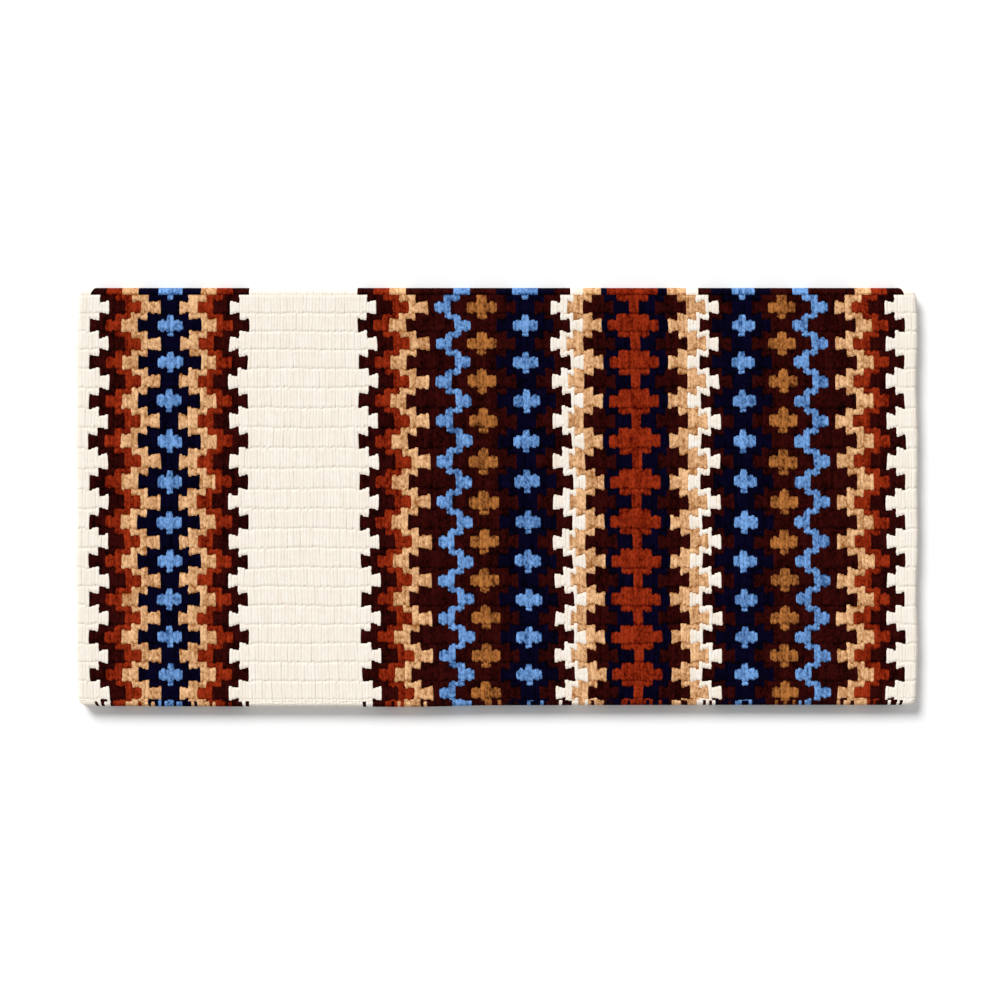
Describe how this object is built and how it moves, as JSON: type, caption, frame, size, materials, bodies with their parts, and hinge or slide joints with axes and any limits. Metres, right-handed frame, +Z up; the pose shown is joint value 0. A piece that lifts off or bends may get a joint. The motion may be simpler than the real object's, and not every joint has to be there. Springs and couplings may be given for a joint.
{
  "type": "saddle blanket",
  "caption": "Thick weft-faced wool saddle blanket, folded once along the spine, with stepped zigzag and diamond stripes beside a plain field; the top half opens flat.",
  "frame": {"origin": "centre of the folded blanket's outline, on the surface it lies on", "axes": "+X along the spine fold, +Y towards the fold, selvedges at -Y, +Z up through the two layers"},
  "size_m": [0.9144, 0.4572, 0.0183],
  "materials": {
    "ivory_weft": "matte wool",
    "white_weft": "matte wool",
    "tan_weft": "matte wool",
    "rust_weft": "matte wool",
    "dark_brown_weft": "matte wool",
    "navy_weft": "matte wool",
    "sky_blue_weft": "matte wool",
    "ochre_weft": "matte wool",
    "warp_cord": "undyed twisted wool cord"
  },
  "bodies": {
    "under_half": {"under_left_border": "ivory_weft", "under_left_band_rust_outer": "rust_weft", "under_left_band_tan_outer": "tan_weft", "under_left_band_navy": "navy_weft", "under_left_band_tan_inner": "tan_weft", "under_left_band_rust_inner": "rust_weft", "under_plain_field": "ivory_weft", "under_left_wing_rust": "rust_weft", "under_left_wing_brown": "dark_brown_weft", "under_left_wing_sky": "sky_blue_weft", "under_left_wing_ochre": "ochre_weft", "under_left_wing_navy": "navy_weft", "under_centre_white_left": "white_weft", "under_centre_tan_left": "tan_weft", "under_centre_navy_left": "navy_weft", "under_centre_rust": "rust_weft", "under_centre_navy_right": "navy_weft", "under_centre_tan_right": "tan_weft", "under_centre_white_right": "white_weft", "under_right_wing_navy": "navy_weft", "under_right_wing_ochre": "ochre_weft", "under_right_wing_sky": "sky_blue_weft", "under_right_wing_brown": "dark_brown_weft", "under_right_wing_rust": "rust_weft", "under_right_border": "ivory_weft", "under_warp": "warp_cord", "under_selvedge_cord": "warp_cord", "spine_fold_left_band": "rust_weft", "spine_fold_plain_field": "ivory_weft", "spine_fold_pattern": "dark_brown_weft", "spine_fold_warp": "warp_cord"},
    "top_half": {"top_left_border": "ivory_weft", "top_left_band_rust_outer": "rust_weft", "top_left_band_tan_outer": "tan_weft", "top_left_band_navy": "navy_weft", "top_left_band_tan_inner": "tan_weft", "top_left_band_rust_inner": "rust_weft", "top_plain_field": "ivory_weft", "top_left_wing_rust": "rust_weft", "top_left_wing_brown": "dark_brown_weft", "top_left_wing_sky": "sky_blue_weft", "top_left_wing_ochre": "ochre_weft", "top_left_wing_navy": "navy_weft", "top_centre_white_left": "white_weft", "top_centre_tan_left": "tan_weft", "top_centre_navy_left": "navy_weft", "top_centre_rust": "rust_weft", "top_centre_navy_right": "navy_weft", "top_centre_tan_right": "tan_weft", "top_centre_white_right": "white_weft", "top_right_wing_navy": "navy_weft", "top_right_wing_ochre": "ochre_weft", "top_right_wing_sky": "sky_blue_weft", "top_right_wing_brown": "dark_brown_weft", "top_right_wing_rust": "rust_weft", "top_right_border": "ivory_weft", "top_warp": "warp_cord", "top_selvedge_cord": "warp_cord"}
  },
  "joints": [
    {"name": "spine_fold", "type": "hinge", "parent": "under_half", "child": "top_half", "pos_m": [0, 0.21945, 0.00915], "axis": [-1, 0, 0], "range_deg": [0, 180], "deforming": ["spine_fold_left_band", "spine_fold_plain_field", "spine_fold_pattern", "spine_fold_warp"]}
  ]
}
